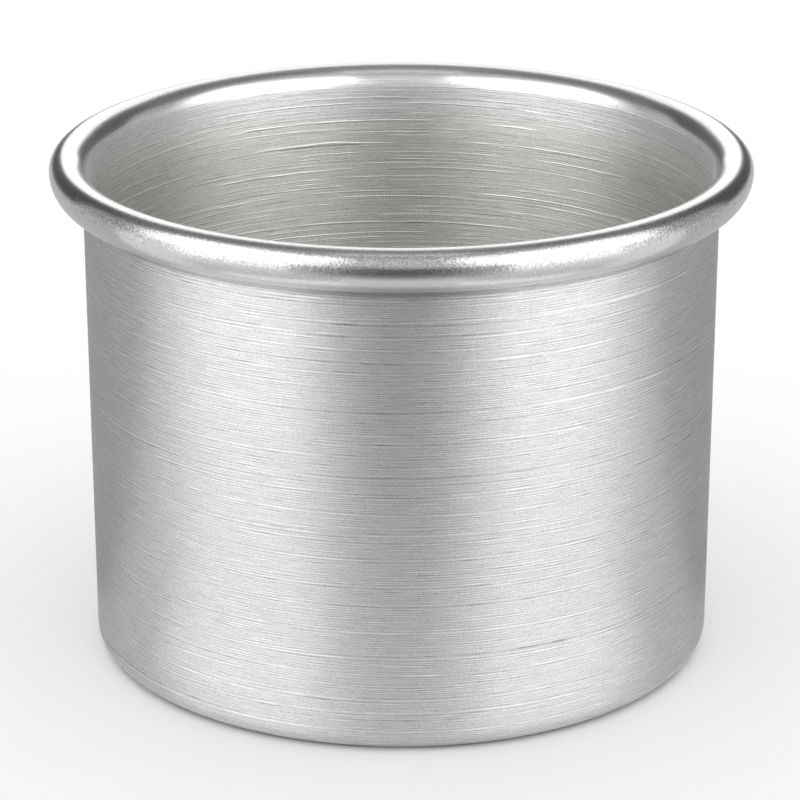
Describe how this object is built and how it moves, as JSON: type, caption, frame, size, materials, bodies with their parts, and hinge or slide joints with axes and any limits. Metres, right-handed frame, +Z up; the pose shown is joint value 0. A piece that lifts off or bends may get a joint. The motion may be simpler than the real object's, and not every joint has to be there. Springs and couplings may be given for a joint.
{
  "type": "deep drawn metal cup",
  "caption": "Round cup drawn from one piece of sheet metal, with a flat base, a nearly straight wall and a rim curled outward into a hollow bead.",
  "frame": {"origin": "centre of the base's underside", "axes": "+Z up the cup's own axis, out of its mouth; +X and +Y are any two radii at right angles, as the cup is round"},
  "size_m": [0.1102, 0.1102, 0.081],
  "materials": {
    "brushed_aluminium": "satin, brushed round the axis, with a brighter bead at the rim"
  },
  "bodies": {
    "root": {"cup": "brushed_aluminium"}
  },
  "joints": []
}
